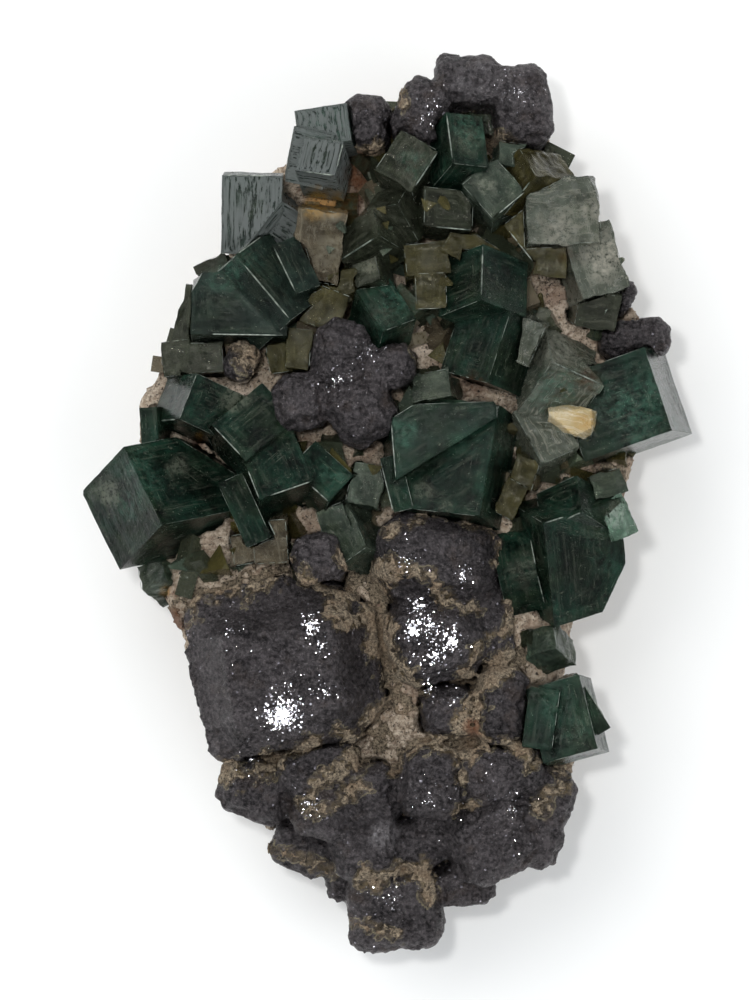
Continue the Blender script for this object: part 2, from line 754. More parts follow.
# Thick bottle-green fluorite: almost black head-on, green where light comes through.
DEEP_GREEN = Fluorite(
    "deep_green_fluorite", "#101713", "#3a6853", "#4f9378", 320.0, haze=0.4, striated=0.25,
    core=0.4,
)
# Grey-green fluorite with a finely stepped skin, duller and greyer than the deep one.
STEEL_GREEN = Fluorite(
    "steel_green_fluorite", "#1f2622", "#4b6357", "#6c9081", 300.0, haze=0.4, striated=0.25,
    rugged_mm=0.08,
)
# Striated fluorite face: growth lines 0.5 mm apart catch the light, so it looks silvery.
SILVER = Fluorite(
    "silver_striated_fluorite", "#1c211f", "#4c5f56", "#6c9081", 300.0, haze=0.4, striated=0.9,
    rugged_mm=0.06, pale="#a4aaa7", line_mm=0.45, core=1.0, streak_from=0.4,
)
# The same skin, with its lines running the other way.
ETCHED = replace(SILVER, name="etched_silver_fluorite", line_mm=0.36, grain=(1.0, 0.03, 0.3))
# Thin smoky fluorite splinters: see-through grey-green with chalky breaks.
SMOKY = Fluorite(
    "smoky_green_fluorite", "#2b2f25", "#717762", "#7c8a6c", 280.0, 0.75, 0.1, 0.6, 0.3,
    rugged_mm=0.25, pale="#a3a48f", mirrored="#b4b4a8",
)
# Iron-tinted fluorite: olive where thick, amber where light comes through.
OLIVE = Fluorite(
    "olive_fluorite", "#3a3720", "#8f8650", "#8f8350", 260.0, 0.75, 0.1, 0.5, 0.3,
    rugged_mm=0.25, pale="#b0a888", olive="#6d6a45", mirrored="#b4b4a8",
)
# Etched, clay-stained fluorite: dull tan with a rough skin.
TAN = Fluorite(
    "etched_tan_fluorite", "#473f33", "#8a7e68", "#94886e", 260.0, 0.5, 0.25, 0.6, 0.3,
    rugged_mm=0.4, pale="#aba38e", olive="#77704f", mirrored="#b4b4a8",
)
# Thin pale-green fluorite, full of small cracks, so it looks milky.
PALE = Fluorite(
    "pale_green_fluorite", "#3f4c42", "#829582", "#84a68c", 230.0, 0.75, 0.1, 0.6, 0.3,
    rugged_mm=0.3, pale="#b4bba6", olive="#7d8663", mirrored="#b4b4a8",
)
# Shattered mint-green fluorite: bright, as its cracks throw the light back.
MINT = Fluorite(
    "mint_fluorite", "#64836f", "#b9d2c0", "#a6cfb4", 120.0, haze=0.6, striated=0.3,
    rugged_mm=0.25, pale="#d0dccf", core=1.0,
)
# Fluorite with a naturally etched skin: matt, pale grey-green, like frosted glass.
FROSTED = Fluorite(
    "frosted_fluorite", "#4d5347", "#8d9585", "#8c9680", 230.0, 0.6, 0.22, 0.7, 0.4,
    rugged_mm=0.35, pale="#cfcab9", core=1.0, olive="#878a72", mirrored="#c0c0c0",
)
# Fresh cream cleavage chip: pearly and the brightest thing on the specimen.
CREAM = Fluorite(
    "cream_cleavage_fluorite", "#c0a877", "#f2ead4", "#dccba0", 80.0, 0.3, 0.25, 0.7, 0.3,
    rugged_mm=0.3, pale="#f6efdf", core=1.0,
)


# Large odd numbers that scatter a lattice point's number, as usual in such hashes.
HASH_PRIMES = np.array([374761393, 668265263, 2147483647])
HASH_SEED_PRIME = 1013
HASH_MIX_PRIME = 1274126177
HASH_LARGEST = 0xFFFF


def value_noise(points: np.ndarray, seed: int) -> np.ndarray:
    """Smooth random values on a unit lattice.

    Args:
        points: places, one row of three each.
        seed: picks the pattern.

    Returns:
        One value from 0 to 1 for each place.
    """
    cell = np.floor(points).astype(np.int64)
    part = points - cell
    part = part * part * (3 - 2 * part)
    total = np.zeros(len(points))
    for corner in range(8):
        step = np.array([corner & 1, (corner >> 1) & 1, (corner >> 2) & 1])
        at = cell + step
        mixed = at @ HASH_PRIMES + seed * HASH_SEED_PRIME
        mixed = (mixed ^ (mixed >> 13)) * HASH_MIX_PRIME
        mixed = (mixed ^ (mixed >> 16)) & HASH_LARGEST
        weight = np.prod(np.where(step == 1, part, 1 - part), axis=1)
        total += weight * mixed / HASH_LARGEST
    return total


def gap_to_line(places: np.ndarray, line: tuple[tuple[float, float], ...]) -> np.ndarray:
    """Plan distance of each place from a line through pixels of the photograph.

    Args:
        places: plan places in millimetres, one row each.
        line: the line's pixels.

    Returns:
        The distances in millimetres.
    """
    best = np.full(len(places), np.inf)
    points = [np.array(plan_mm(pixel)) for pixel in line]
    for start, end in zip(points, points[1:]):
        along = end - start
        share = np.clip((places - start) @ along / max(along @ along, TINY), 0, 1)
        best = np.minimum(best, np.linalg.norm(places - start - share[:, None] * along, axis=1))
    return best


def fall_away(mesh: bpy.types.Mesh, node: str) -> None:
    """Lowers a piece outside the outlines of its raised facets.

    Args:
        mesh: the piece's fine mesh.
        node: the CAD node that it stands for.
    """
    plateaus = [plateau for plateau in PLATEAUS if plateau.node == node]
    if not plateaus:
        return
    places = coordinates(mesh)
    fall = np.full(len(places), np.inf)
    for plateau in plateaus:
        corners = np.array([plan_mm(pixel) for pixel in plateau.outline])
        inside = np.zeros(len(places), bool)
        for start, end in zip(corners, np.roll(corners, -1, axis=0)):
            spans = (start[1] > places[:, 1]) != (end[1] > places[:, 1])
            at = start[0] + (places[:, 1] - start[1]) / (end[1] - start[1]) * (end[0] - start[0])
            inside ^= spans & (places[:, 0] < at)
        gap = gap_to_line(places[:, :2], plateau.outline + plateau.outline[:1])
        own = np.minimum(gap * plateau.slope, plateau.deepest_mm)
        fall = np.minimum(fall, np.where(inside, 0.0, own))
    height = places[:, 2]
    upper = np.clip((height - height.max() + FACET_DEPTH_MM) / FACET_FADE_MM, 0, 1)
    places[:, 2] -= fall * upper
    mesh.vertices.foreach_set("co", (places * MM).astype(np.float32).ravel())
    mesh.update()


def coordinates(mesh: bpy.types.Mesh) -> np.ndarray:
    """Reads where the mesh's points are.

    Args:
        mesh: the mesh to read.

    Returns:
        The points in millimetres, one row each.
    """
    flat = np.empty(len(mesh.vertices) * 3, np.float32)
    mesh.vertices.foreach_get("co", flat)
    return flat.reshape(-1, 3).astype(float) / MM


def paint(mesh: bpy.types.Mesh) -> None:
    """Paints every mark on the mesh, as point attributes that its material and trees read.

    Args:
        mesh: the mesh that gets the attributes.
    """
    points = coordinates(mesh)
    places = points[:, :2]
    upper = np.clip((points[:, 2] - LOWEST_GROWTH_MM) / GROWTH_FADE_MM, 0, 1)
    marks = {}
    level = np.zeros(len(places))
    ragged = sum(
        (value_noise(np.column_stack([places * scale, level]), RAGGED_SEED) - 0.5) * share
        for scale, share in RAGGED_LAYERS
    )
    for mark in Mark:
        if mark is Mark.TONE:
            continue
        strength = np.zeros(len(places))
        for x, y, radius_mm, spot_strength in SPOTS.get(mark, ()):
            far = np.linalg.norm(places - np.array(plan_mm((x, y))), axis=1)
            near = 1 - (far / radius_mm + ragged * SPOT_RAGGED)
            strength = np.maximum(strength, np.clip(near * SPOT_EDGE, 0, 1) * spot_strength)
        for run in RUNS:
            if run.mark is mark:
                far = gap_to_line(places, run.line) / run.width_mm / SPOT_EDGE
                near = 1 - (far + ragged * RUN_RAGGED)
                strength = np.maximum(strength, np.clip(near * RUN_EDGE, 0, 1) * run.strength)
        marks[mark] = strength
    marks[Mark.CRUST] *= upper
    marks[Mark.DRUSE] *= upper * (1 - marks[Mark.CRUST])
    for mark, strength in marks.items():
        layer = mesh.attributes.new(mark.value, "FLOAT", "POINT")
        layer.data.foreach_set("value", strength.astype(np.float32))


def merged_copy(node: str) -> bmesh.types.BMesh:
    """Copies a CAD node's mesh and merges its loose triangles.

    Args:
        node: the node's name.

    Returns:
        The merged copy.
    """
    bm = bmesh.new()
    bm.from_mesh(frame["nodes"][node].data)
    bmesh.ops.remove_doubles(bm, verts=bm.verts, dist=MERGE)
    return bm


def object_of(name: str, mesh: bpy.types.Mesh) -> bpy.types.Object:
    """Puts a mesh in the scene.

    Args:
        name: the new object's name.
        mesh: the mesh that it holds.

    Returns:
        The new object.
    """
    obj = bpy.data.objects.new(name, mesh)
    bpy.context.scene.collection.objects.link(obj)
    return obj


def baked(obj: bpy.types.Object) -> bpy.types.Mesh:
    """Applies the object's modifiers to its mesh.

    Args:
        obj: the object, which keeps no modifier.

    Returns:
        Its new plain mesh.
    """
    graph = bpy.context.evaluated_depsgraph_get()
    mesh = bpy.data.meshes.new_from_object(obj.evaluated_get(graph))
    obj.modifiers.clear()
    obj.data = mesh
    return mesh


def bmesh_to(name: str, bm: bmesh.types.BMesh) -> bpy.types.Mesh:
    """Turns an edited mesh into a plain one and frees it.

    Args:
        name: the plain mesh's name.
        bm: the edited mesh.

    Returns:
        The plain mesh.
    """
    mesh = bpy.data.meshes.new(name)
    bm.to_mesh(mesh)
    bm.free()
    return mesh


def keep_inside(mesh: bpy.types.Mesh) -> None:
    """Holds the mesh inside the CAD box and above the board.

    Args:
        mesh: the mesh that is held.
    """
    low, high = (np.array(corner) / MM for corner in CAD_BOX)
    places = np.clip(coordinates(mesh), low, high)
    mesh.vertices.foreach_set("co", (places * MM).astype(np.float32).ravel())
    mesh.update()


def hand_over(obj: bpy.types.Object, slot: str, *nodes: str) -> None:
    """Rides the finished piece on the specimen's body and reports it.

    Args:
        obj: the finished piece.
        slot: its material slot.
        nodes: the CAD nodes that it stands for.
    """
    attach(obj, "root")
    if nodes:
        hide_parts(*nodes)
    LOG.info("%s: %d triangles", obj.name, sum(len(p.vertices) - 2 for p in obj.data.polygons))


def shade(mesh: bpy.types.Mesh) -> None:
    """Smooths the faces and leaves the creases sharp.

    Args:
        mesh: the mesh that is shaded.
    """
    mesh.shade_smooth()
    mesh.set_sharp_from_angle(angle=math.radians(CREASE_DEGREES))


LAYERS = (
    "Lump Size", "Lump Depth", "Pit Size", "Pit Depth", "Grit Size", "Grit Depth", "Chip Size",
    "Chip Depth",
)


@dataclass
class WeatheringTree:
    """Geometry Nodes tree that gives a surface its lumps, pits and grit."""

    name: str = "weathering"
    inputs: dict[str, str] = field(default_factory=dict)

    def build(self) -> bpy.types.NodeTree:
        """Builds the tree and remembers its input identifiers.

        Returns:
            The tree.
        """
        tree = bpy.data.node_groups.new(self.name, "GeometryNodeTree")
        face = tree.interface
        face.new_socket("Geometry", in_out="INPUT", socket_type="NodeSocketGeometry")
        for name in LAYERS:
            made = face.new_socket(name, in_out="INPUT", socket_type="NodeSocketFloat")
            self.inputs[name] = made.identifier
        made = face.new_socket("Finish", in_out="INPUT", socket_type="NodeSocketMaterial")
        self.inputs["Finish"] = made.identifier
        face.new_socket("Geometry", in_out="OUTPUT", socket_type="NodeSocketGeometry")
        start = tree.nodes.new("NodeGroupInput")
        place = add_node(tree, "GeometryNodeInputPosition").outputs[0]
        height = None
        for layer, detail in (("Lump", 2.0), ("Pit", 3.0), ("Grit", 2.0), ("Chip", 0.0)):
            scale = add_node(
                tree, "ShaderNodeMath", {"operation": "DIVIDE"}, {0: 1.0},
                {1: start.outputs[layer + " Size"]},
            ).outputs[0]
            if layer == "Chip":
                noise = add_node(
                    tree, "ShaderNodeTexVoronoi", {"distance": "CHEBYCHEV"},
                    links={"Vector": place, "Scale": scale},
                ).outputs["Distance"]
            else:
                noise = add_node(
                    tree, "ShaderNodeTexNoise", values={"Detail": detail},
                    links={"Vector": place, "Scale": scale},
                ).outputs[0]
            centred = add_node(
                tree, "ShaderNodeMath", {"operation": "SUBTRACT"}, {1: 0.5}, {0: noise}
            ).outputs[0]
            if layer == "Pit":
                centred = add_node(
                    tree, "ShaderNodeMath", {"operation": "MINIMUM"}, {1: 0.0}, {0: centred}
                ).outputs[0]
            deep = add_node(
                tree, "ShaderNodeMath", {"operation": "MULTIPLY"},
                links={0: centred, 1: start.outputs[layer + " Depth"]},
            ).outputs[0]
            height = deep if height is None else add_node(
                tree, "ShaderNodeMath", {"operation": "ADD"}, links={0: height, 1: deep}
            ).outputs[0]
        normal = add_node(tree, "GeometryNodeInputNormal").outputs[0]
        offset = add_node(
            tree, "ShaderNodeVectorMath", {"operation": "SCALE"},
            links={0: normal, "Scale": height},
        ).outputs[0]
        moved = add_node(
            tree, "GeometryNodeSetPosition",
            links={"Geometry": start.outputs["Geometry"], "Offset": offset},
        ).outputs[0]
        real = add_node(tree, "GeometryNodeRealizeInstances", links={0: moved}).outputs[0]
        done = add_node(
            tree, "GeometryNodeSetMaterial",
            links={"Geometry": real, "Material": start.outputs["Finish"]},
        ).outputs[0]
        add_node(tree, "NodeGroupOutput", links={0: done})
        return tree


SPLINTER_SIZES = {"Vertices": 3, "Radius Top": 0.15, "Radius Bottom": 0.7, "Depth": 1.1}


@dataclass
class ScatterTree:
    """Geometry Nodes tree that sows small lumps where a mark is painted on a surface."""

    name: str
    shape: Lump
    least_rise: float = 0.2  # crystals grow on faces that look up at least this much
    full_rise: float = 0.6
    most_turn: float = 6.28
    most_tone: float = 0.9
    inputs: dict[str, str] = field(default_factory=dict)
    tree: bpy.types.NodeTree | None = None

    def build(self) -> None:
        """Builds the tree and remembers its input identifiers."""
        tree = bpy.data.node_groups.new(self.name, "GeometryNodeTree")
        face = tree.interface
        face.new_socket("Geometry", in_out="INPUT", socket_type="NodeSocketGeometry")
        kinds = {
            "Per Square Metre": "NodeSocketFloat", "Smallest": "NodeSocketFloat",
            "Largest": "NodeSocketFloat", "Pile": "NodeSocketFloat", "Seed": "NodeSocketInt",
            "Finish": "NodeSocketMaterial", "Mark": "NodeSocketString",
        }
        for name, kind in kinds.items():
            made = face.new_socket(name, in_out="INPUT", socket_type=kind)
            self.inputs[name] = made.identifier
        face.new_socket("Geometry", in_out="OUTPUT", socket_type="NodeSocketGeometry")
        start = tree.nodes.new("NodeGroupInput")
        mark = add_node(
            tree, "GeometryNodeInputNamedAttribute", {"data_type": "FLOAT"},
            links={"Name": start.outputs["Mark"]},
        ).outputs[0]
        density = add_node(
            tree, "ShaderNodeMath", {"operation": "MULTIPLY"},
            links={0: mark, 1: start.outputs["Per Square Metre"]},
        ).outputs[0]
        if self.shape is not Lump.GRAIN:
            normal = add_node(tree, "GeometryNodeInputNormal").outputs[0]
            rise = add_node(tree, "ShaderNodeSeparateXYZ", links={0: normal}).outputs[2]
            rise = add_node(
                tree, "ShaderNodeMapRange",
                values={"From Min": self.least_rise, "From Max": self.full_rise},
                links={"Value": rise},
            ).outputs[0]
            density = add_node(
                tree, "ShaderNodeMath", {"operation": "MULTIPLY"}, links={0: density, 1: rise}
            ).outputs[0]
        sown = add_node(
            tree, "GeometryNodeDistributePointsOnFaces", {"distribute_method": "RANDOM"},
            links={"Mesh": start.outputs["Geometry"], "Density": density,
                   "Seed": start.outputs["Seed"]},
        )
        lift = add_node(
            tree, "FunctionNodeRandomValue", {"data_type": "FLOAT"}, {2: 0.0, 3: 1.0},
            {"Seed": start.outputs["Seed"]},
        ).outputs[1]
        lift = add_node(
            tree, "ShaderNodeMath", {"operation": "MULTIPLY"},
            links={0: lift, 1: start.outputs["Pile"]},
        ).outputs[0]
        offset = add_node(
            tree, "ShaderNodeVectorMath", {"operation": "SCALE"},
            links={0: sown.outputs["Normal"], "Scale": lift},
        ).outputs[0]
        piled = add_node(
            tree, "GeometryNodeSetPosition", links={"Geometry": sown.outputs["Points"],
                                                   "Offset": offset},
        ).outputs[0]
        turn = add_node(
            tree, "FunctionNodeRandomValue", {"data_type": "FLOAT_VECTOR"},
            {0: (0.0, 0.0, 0.0), 1: (self.most_turn,) * 3}, {"Seed": start.outputs["Seed"]},
        ).outputs[0]
        size = add_node(
            tree, "FunctionNodeRandomValue", {"data_type": "FLOAT_VECTOR"},
            links={0: start.outputs["Smallest"], 1: start.outputs["Largest"],
                   "Seed": start.outputs["Seed"]},
        ).outputs[0]
        sizes = SPLINTER_SIZES if self.shape is Lump.SPLINTER else {}
        grain = add_node(tree, self.shape.value, values=sizes).outputs[0]
        placed = add_node(
            tree, "GeometryNodeInstanceOnPoints",
            links={"Points": piled, "Instance": grain, "Rotation": turn, "Scale": size},
        ).outputs[0]
        shade_of = add_node(
            tree, "FunctionNodeRandomValue", {"data_type": "FLOAT"}, {2: 0.0, 3: self.most_tone},
            {"Seed": start.outputs["Seed"]},
        ).outputs[1]
        toned = add_node(
            tree, "GeometryNodeStoreNamedAttribute", {"domain": "INSTANCE", "data_type": "FLOAT"},
            {"Name": Mark.TONE.value}, {"Geometry": placed, "Value": shade_of},
        ).outputs[0]
        real = add_node(tree, "GeometryNodeRealizeInstances", links={0: toned}).outputs[0]
        done = add_node(
            tree, "GeometryNodeSetMaterial",
            links={"Geometry": real, "Material": start.outputs["Finish"]},
        ).outputs[0]
        add_node(tree, "NodeGroupOutput", links={0: done})
        self.tree = tree


@dataclass(frozen=True)
class Face:
    """A flat face of a crystal, in millimetres."""

    middle: np.ndarray
    normal: np.ndarray
    along: np.ndarray
    corners: np.ndarray
    area: float


@dataclass
class FluoriteCluster:
    """Fluorite crystals grown together: body with growth relief, bruised edges and cracks."""

    node: str
    slot: str
    finish: Fluorite
    seed: int
    cell_mm: float = 0.27
    ridge_mm: float = 0.12
    ridge_pitch_mm: float = 0.8
    step_mm: float = 0.04
    step_pitch_mm: float = 1.5
    cracks: int = 5
    edge_mm: float = 0.09
    least_relief_mm2: float = 5.0
    most_steps: int = 3
    patch_mm: float = 4.0  # size of the patches over which the relief comes and goes
    ridge_length_mm: float = 9.0
    step_wander_mm: float = 1.2
    rim_left_mm: float = 0.25  # the relief stays off the rim, and sets in over the next bit
    rim_fade_mm: float = 0.3
    face_shift_mm: float = 40.0  # sets each face's pattern apart from the next one's
    box_share: float = 0.9  # how much of the remesh grid's box the crystals fill
    etch_sizes_mm: tuple[tuple[float, float], ...] = ((2.6, 1.0), (1.1, 0.55), (0.55, 0.3))
    axis_shift: float = 17.3  # sets the moves along each axis apart
    axis_seed_step: int = 7
    least_edge_mm: float = 1.2  # shorter, flatter, lower or downward edges get no thread
    least_edge_turn: float = 0.6
    lowest_edge_mm: float = 12.0
    least_edge_rise: float = 0.05
    edge_samples: tuple[float, ...] = (0.2, 0.5, 0.8)
    bright_gap_mm: float = 0.75
    bright_aim: float = 0.93
    bare_edges: float = 0.35  # share of the other edges that get no thread
    thread_mm: tuple[float, float] = (0.015, 0.04)
    thread_shoulders: tuple[float, float] = (0.12, 0.88)
    least_crack_mm2: float = 6.0
    least_crack_rise: float = 0.25
    crack_corners: int = 14
    crack_room: float = 0.85
    crack_reach_mm: tuple[float, float] = (0.8, 2.6)
    crack_depth_mm: tuple[float, float] = (0.8, 2.2)
    crack_half_mm: float = 0.04
    least_crack_mm: float = 0.2

    def faces(self, bm: bmesh.types.BMesh) -> list[Face]:
        """Reads the crystal's flat faces.

        Args:
            bm: the crystal with its flat faces whole.

        Returns:
            The faces in order.
        """
        found = []
        for face in bm.faces:
            longest = max(face.edges, key=lambda e: e.calc_length())
            along = (longest.verts[1].co - longest.verts[0].co).normalized()
            found.append(Face(
                np.array(face.calc_center_median()) / MM, np.array(face.normal), np.array(along),
                np.array([v.co for v in face.verts]) / MM, face.calc_area() / MM / MM,
            ))
        return found

    def relief(self, mesh: bpy.types.Mesh, bm: bmesh.types.BMesh) -> None:
        """Cuts growth steps and striations into each large face.

        Args:
            mesh: the fine mesh that is shaped.
            bm: the crystal with its flat faces whole.
        """
        tree = BVHTree.FromBMesh(bm)
        faces = self.faces(bm)
        places = coordinates(mesh)
        growth = np.zeros_like(places)
        owner = np.array([tree.find_nearest(Vector(p * MM))[2] for p in places])
        for index, face in enumerate(faces):
            mine = np.nonzero(owner == index)[0]
            if not len(mine):
                continue
            across = np.cross(face.normal, face.along)
            here = places[mine]
            rim = np.full(len(mine), np.inf)
            ring = list(face.corners) + [face.corners[0]]
            for start, end in zip(ring, ring[1:]):
                side = end - start
                share = np.clip((here - start) @ side / max(side @ side, TINY), 0, 1)
                gap = np.linalg.norm(here - start - share[:, None] * side, axis=1)
                rim = np.minimum(rim, gap)
            u = (here - face.middle) @ face.along
            v = (here - face.middle) @ across
            growth[mine] = np.column_stack([u + self.face_shift_mm * index, v, rim])
            if face.area < self.least_relief_mm2:
                continue
            own = np.full(len(u), index)
            patch = np.column_stack([u / self.patch_mm, v / self.patch_mm, own])
            ridge = np.column_stack([v / self.ridge_pitch_mm, u / self.ridge_length_mm, own])
            slow = value_noise(patch, self.seed)
            lines = value_noise(ridge, self.seed + 1)
            frames = np.floor((rim + slow * self.step_wander_mm) / self.step_pitch_mm)
            depth = self.step_mm * np.minimum(frames, self.most_steps)
            depth = depth + self.ridge_mm * self.finish.striated * (1 - lines) * slow * 2
            depth *= np.clip((rim - self.rim_left_mm) / self.rim_fade_mm, 0, 1)
            places[mine] = here - face.normal * depth[:, None]
        places += self.ruggedness(places)
        mesh.vertices.foreach_set("co", (places * MM).astype(np.float32).ravel())
        layer = mesh.attributes.new(GROWTH, "FLOAT_VECTOR", "POINT")
        layer.data.foreach_set("vector", (growth * MM).astype(np.float32).ravel())

    def ruggedness(self, places: np.ndarray) -> np.ndarray:
        """How far etching and breakage move each point.

        Args:
            places: the points in millimetres.

        Returns:
            The moves in millimetres.
        """
        moves = np.zeros_like(places)
        for size, share in self.etch_sizes_mm:
            for axis in range(3):
                shifted = places / size + self.axis_shift * axis
                pattern = value_noise(shifted, self.seed + axis * self.axis_seed_step)
                moves[:, axis] += (pattern - 0.5) * 2 * self.finish.rugged_mm * share
        return moves

    def body(self, bm: bmesh.types.BMesh) -> bpy.types.Mesh:
        """The crystals' fine closed mesh.

        Args:
            bm: the crystal with its flat faces whole.

        Returns:
            The mesh with its relief.
        """
        source = bpy.data.meshes.new(self.node)
        bm.to_mesh(source)
        obj = object_of(self.node + "_body", source)
        size = max(obj.dimensions) / MM
        cells = size / self.box_share / self.cell_mm
        depth = max(4, min(8, math.ceil(math.log2(cells) - 0.35)))
        remesh = obj.modifiers.new("fine", "REMESH")
        remesh.mode = "SHARP"
        remesh.octree_depth = depth
        remesh.scale = self.box_share
        remesh.sharpness = 1.0
        remesh.use_remove_disconnected = False
        mesh = baked(obj)
        bpy.data.objects.remove(obj)
        self.relief(mesh, bm)
        fall_away(mesh, self.node)
        return mesh

    def edges(self, bm: bmesh.types.BMesh, into: bmesh.types.BMesh) -> None:
        """Lays the crushed threads along the crystal's outer edges.

        Args:
            bm: the crystal with its flat faces whole.
            into: the mesh that gets the threads.
        """
        dice = random.Random(self.seed)
        for edge in bm.edges:
            if len(edge.link_faces) != 2 or not edge.is_convex:
                continue
            length = edge.calc_length() / MM
            start, end = (v.co.copy() for v in edge.verts)
            if length < self.least_edge_mm or edge.calc_face_angle(0) < self.least_edge_turn:
                continue
            outward = (edge.link_faces[0].normal + edge.link_faces[1].normal).normalized()
            lowest = min(start.z, end.z)
            if lowest < self.lowest_edge_mm * MM or outward.z < self.least_edge_rise:
                continue
            along = (end - start).normalized()
            samples = np.array([start.lerp(end, t)[:2] for t in self.edge_samples]) / MM
            bright = any(self.follows(samples, along, line) for line in BRIGHT_EDGES)
            if not bright and dice.random() < self.bare_edges:
                continue
            thick = self.edge_mm if bright else dice.uniform(*self.thread_mm)
            side = along.cross(outward)
            pieces = 1 if bright else dice.choice((1, 2, 3))
            latest = 0.2 if pieces > 1 else 0.04
            for n in range(pieces):
                first = start.lerp(end, (n + dice.uniform(0.02, latest)) / pieces)
                last = start.lerp(end, (n + dice.uniform(0.75, 0.98)) / pieces)
                self.thread(into, first, last, outward * thick * MM, side * thick * MM)

    def follows(
        self, samples: np.ndarray, along: Vector, line: tuple[tuple[float, float], ...]
    ) -> bool:
        """Tells whether an edge is one of the bright ones.

        Args:
            samples: plan places on the edge, in millimetres.
            along: the edge's direction.
            line: the bright edge's pixels.

        Returns:
            Whether the edge lies along the line.
        """
        aim = (Vector(plan_mm(line[1])) - Vector(plan_mm(line[0]))).normalized()
        near = gap_to_line(samples, line).mean() < self.bright_gap_mm
        return near and abs(along.xy.normalized().dot(aim)) > self.bright_aim

    def thread(
        self, into: bmesh.types.BMesh, start: Vector, end: Vector, up: Vector, side: Vector
    ) -> None:
        """Adds one closed thread with pointed ends.

        Args:
            into: the mesh that gets it.
            start: one end.
            end: the other end.
            up: half its height, outwards.
            side: half its width.
        """
        ring = []
        for share in self.thread_shoulders:
            at = start.lerp(end, share)
            ring.append([into.verts.new(at + d) for d in (up, side, -up, -side)])
        tips = [into.verts.new(start), into.verts.new(end)]
        for n in range(4):
            m = (n + 1) % 4
            into.faces.new((ring[0][n], ring[0][m], ring[1][m], ring[1][n]))
            into.faces.new((tips[0], ring[0][m], ring[0][n]))
            into.faces.new((tips[1], ring[1][n], ring[1][m]))

    def crack_sheets(self, bm: bmesh.types.BMesh, into: bmesh.types.BMesh) -> None:
        """Hangs thin closed sheets inside the crystal for its healed cracks.

        Args:
            bm: the crystal with its flat faces whole.
            into: the mesh that gets the sheets.
        """
        tree = BVHTree.FromBMesh(bm)
        dice = random.Random(self.seed + 7)
        least = self.least_crack_mm2 * MM * MM
        tops = [
            f for f in bm.faces if f.normal.z > self.least_crack_rise and f.calc_area() > least
        ]
        if not tops:
            return
        for _ in range(self.cracks):
            face = dice.choice(tops)
            corner = dice.choice(face.verts[:]).co
            at = face.calc_center_median().lerp(corner, dice.uniform(0.0, 0.6))
            at = at - face.normal * dice.uniform(*self.crack_depth_mm) * MM
            tilt = Vector([dice.uniform(-1, 1) for _ in range(3)]).normalized()
            tilt = (tilt + face.normal * dice.uniform(0.0, 1.2)).normalized()
            first = tilt.orthogonal().normalized()
            second = tilt.cross(first)
            rim = []
            for n in range(self.crack_corners):
                turn = n * math.tau / self.crack_corners
                way = (first * math.cos(turn) + second * math.sin(turn)).normalized()
                hit = tree.ray_cast(at, way)
                room = (hit[3] if hit[0] else 0.0) * self.crack_room
                rim.append(at + way * min(room, dice.uniform(*self.crack_reach_mm) * MM))
            if min((p - at).length for p in rim) < self.least_crack_mm * MM:
                continue
            upper = into.verts.new(at + tilt * self.crack_half_mm * MM)
            lower = into.verts.new(at - tilt * self.crack_half_mm * MM)
            ring = [into.verts.new(p) for p in rim]
            for n in range(self.crack_corners):
                m = (n + 1) % self.crack_corners
                into.faces.new((upper, ring[n], ring[m]))
                into.faces.new((lower, ring[m], ring[n]))

    def build(self) -> bpy.types.Object:
        """Makes the cluster and hands it over.

        Returns:
            The finished piece.
        """
        bm = merged_copy(self.node)
        bmesh.ops.dissolve_limit(
            bm, angle_limit=math.radians(FLAT_DEGREES), verts=bm.verts, edges=bm.edges
        )
        bm.normal_update()
        bm.faces.ensure_lookup_table()
        body = self.body(bm)
        whole = bmesh.new()
        whole.from_mesh(body)
        count = len(whole.faces)
        self.edges(bm, whole)
        threads = len(whole.faces)
        self.crack_sheets(bm, whole)
        whole.faces.ensure_lookup_table()
        bmesh.ops.recalc_face_normals(whole, faces=whole.faces[count:])
        for n, face in enumerate(whole.faces):
            face.material_index = 0 if n < count else 1 if n < threads else 2
        bm.free()
        mesh = bmesh_to(self.node, whole)
        keep_inside(mesh)
        shade(mesh)
        paint(mesh)
        for finish in (self.finish, BruisedEdge(), HealedCrack()):
            mesh.materials.append(FINISHES.get(finish))
        obj = object_of(self.node + "_crystals", mesh)
        hand_over(obj, self.slot, self.node)
        return obj


Finish = (
    Fluorite | BruisedEdge | HealedCrack | TarnishedGalena | FreshGalena | Ironstone
    | GrittyCrust | PaleBoard
)


@dataclass
class Finishes:
    """Makes each material once."""

    made: dict[str, bpy.types.Material] = field(default_factory=dict)

    def get(self, finish: Finish) -> bpy.types.Material:
        """Looks a finish's material up, and makes it the first time.

        Args:
            finish: the finish.

        Returns:
            Its material.
        """
        if finish.name not in self.made:
            self.made[finish.name] = finish.material()
        return self.made[finish.name]


FINISHES = Finishes()


